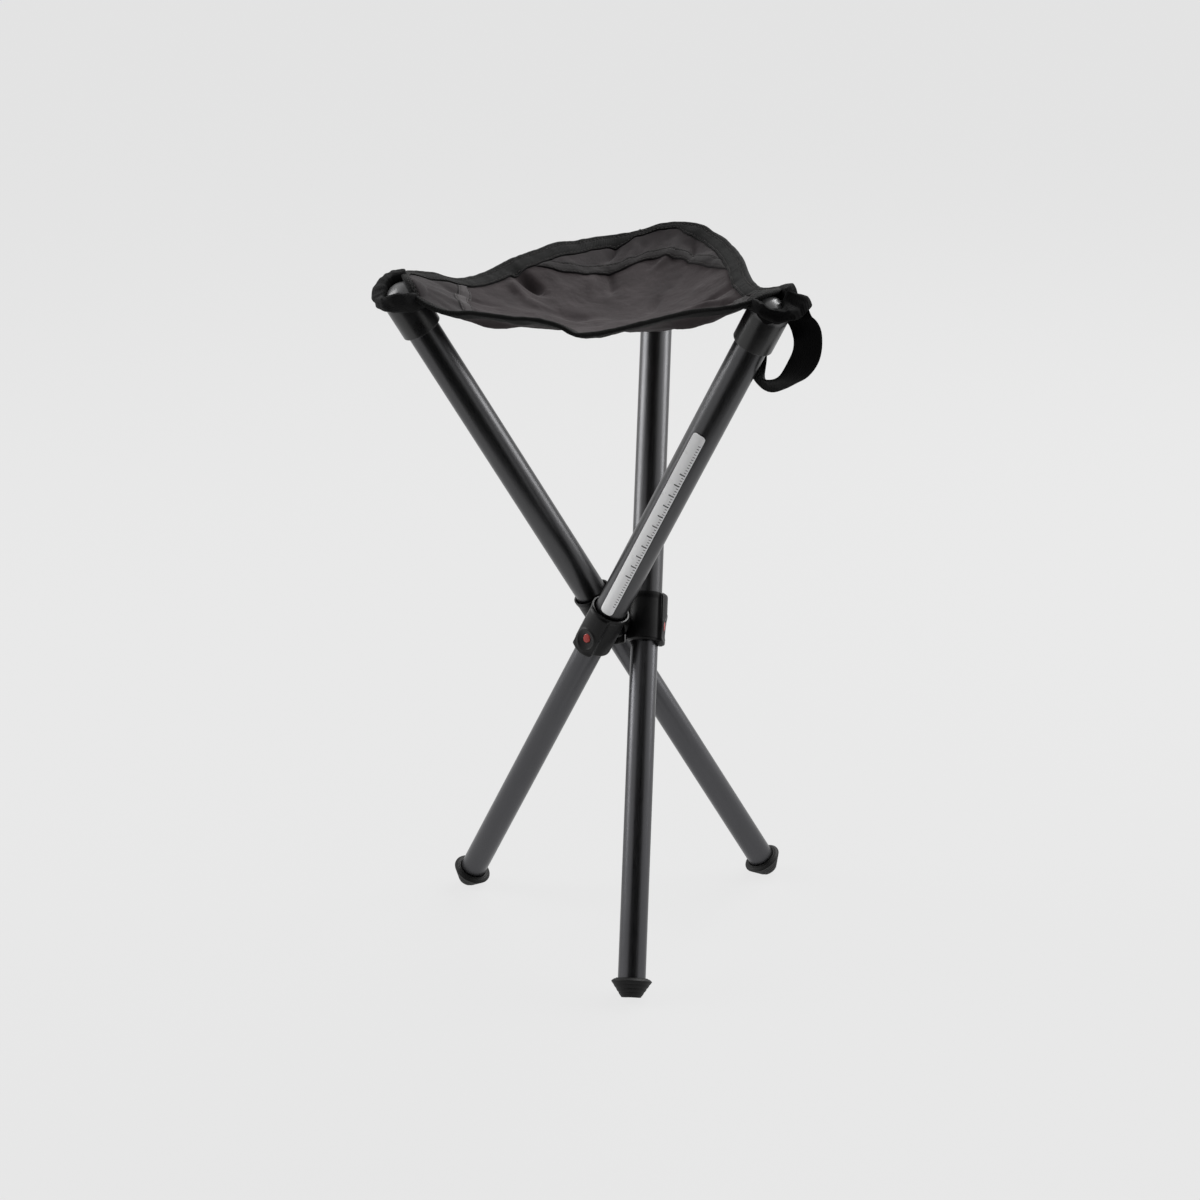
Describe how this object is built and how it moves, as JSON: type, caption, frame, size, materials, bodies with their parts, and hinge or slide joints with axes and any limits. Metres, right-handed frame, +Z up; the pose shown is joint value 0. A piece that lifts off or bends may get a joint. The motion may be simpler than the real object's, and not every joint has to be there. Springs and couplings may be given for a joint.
{
  "type": "telescopic folding stool",
  "caption": "Folding tripod stool: skew telescopic tube legs cross at a pivot hub, with push-button collars, rubber feet, domed caps, a sagging cloth seat and a strap loop.",
  "frame": {"origin": "middle of the overall box's underside, on the floor", "axes": "+Z up; the pictured side faces -Y, turned about 6.6 degrees"},
  "size_m": [0.3182, 0.3178, 0.5274],
  "materials": {
    "upper_tube": "satin anodised, dark grey",
    "lower_tube": "satin anodised, grey",
    "moulded_plastic": "fine moulded grain, black",
    "cap_plastic": "smooth, grey",
    "button": "smooth, orange-red",
    "rubber": "matt, black",
    "steel": "bright",
    "guide_plastic": "natural",
    "cloth": "plain weave, dark grey-brown",
    "binding": "folded hem with stitching",
    "webbing": "ribbed webbing, black",
    "label": "silver film"
  },
  "bodies": {
    "root": {"hub": "moulded_plastic", "pivot_rivet_a": "steel", "pivot_rivet_b": "steel", "pivot_rivet_c": "steel", "seat_sling": "cloth", "edge_binding_a": "binding", "edge_binding_b": "binding", "edge_binding_c": "binding"},
    "upper_leg_a": {"collar_a": "moulded_plastic", "upper_tube_a": "upper_tube", "end_cap_a": "cap_plastic", "corner_pocket_a": "webbing", "button_spring_a": "steel", "label": "label", "carry_strap": "webbing"},
    "lower_leg_a": {"lower_tube_a": "lower_tube", "guide_bush_a": "guide_plastic", "lock_clip_a": "steel", "foot_a": "rubber"},
    "button_a": {"push_button_a": "button"},
    "upper_leg_b": {"collar_b": "moulded_plastic", "upper_tube_b": "upper_tube", "end_cap_b": "cap_plastic", "corner_pocket_b": "webbing", "button_spring_b": "steel"},
    "lower_leg_b": {"lower_tube_b": "lower_tube", "guide_bush_b": "guide_plastic", "lock_clip_b": "steel", "foot_b": "rubber"},
    "button_b": {"push_button_b": "button"},
    "upper_leg_c": {"collar_c": "moulded_plastic", "upper_tube_c": "upper_tube", "end_cap_c": "cap_plastic", "corner_pocket_c": "webbing", "button_spring_c": "steel"},
    "lower_leg_c": {"lower_tube_c": "lower_tube", "guide_bush_c": "guide_plastic", "lock_clip_c": "steel", "foot_c": "rubber"},
    "button_c": {"push_button_c": "button"}
  },
  "joints": [
    {"name": "fold_a", "type": "hinge", "parent": "root", "child": "upper_leg_a", "pos_m": [-0.01053, -0.02892, 0.24837], "axis": [-0.5, -0.866, 0], "range_deg": [0, 30], "deforming": ["seat_sling", "edge_binding_a", "edge_binding_b", "edge_binding_c"]},
    {"name": "fold_b", "type": "hinge", "parent": "root", "child": "upper_leg_b", "pos_m": [0.02247, -0.00987, 0.24837], "axis": [1, 0, 0], "range_deg": [0, 30]},
    {"name": "fold_c", "type": "hinge", "parent": "root", "child": "upper_leg_c", "pos_m": [-0.01053, 0.00918, 0.24837], "axis": [-0.5, 0.866, 0], "range_deg": [0, 30]},
    {"name": "telescope_a", "type": "slide", "parent": "upper_leg_a", "child": "lower_leg_a", "axis": [0.433, -0.25, 0.866], "range_m": [0, 0.25], "deforming": ["lock_clip_a"]},
    {"name": "telescope_b", "type": "slide", "parent": "upper_leg_b", "child": "lower_leg_b", "axis": [0, 0.5, 0.866], "range_m": [0, 0.25], "deforming": ["lock_clip_b"]},
    {"name": "telescope_c", "type": "slide", "parent": "upper_leg_c", "child": "lower_leg_c", "axis": [-0.433, -0.25, 0.866], "range_m": [0, 0.25], "deforming": ["lock_clip_c"]},
    {"name": "press_a", "type": "slide", "parent": "upper_leg_a", "child": "button_a", "axis": [0.5, 0.866, 0], "range_m": [0, 0.001], "stiffness_N_per_m": 300, "springref_m": -0.001, "deforming": ["button_spring_a"]},
    {"name": "press_b", "type": "slide", "parent": "upper_leg_b", "child": "button_b", "axis": [-1, 0, 0], "range_m": [0, 0.001], "stiffness_N_per_m": 300, "springref_m": -0.001, "deforming": ["button_spring_b"]},
    {"name": "press_c", "type": "slide", "parent": "upper_leg_c", "child": "button_c", "axis": [0.5, -0.866, 0], "range_m": [0, 0.001], "stiffness_N_per_m": 300, "springref_m": -0.001, "deforming": ["button_spring_c"]}
  ],
  "couplings": [
    {"joint": "fold_b", "follows": "fold_a", "ratio": 1},
    {"joint": "fold_c", "follows": "fold_a", "ratio": 1}
  ]
}
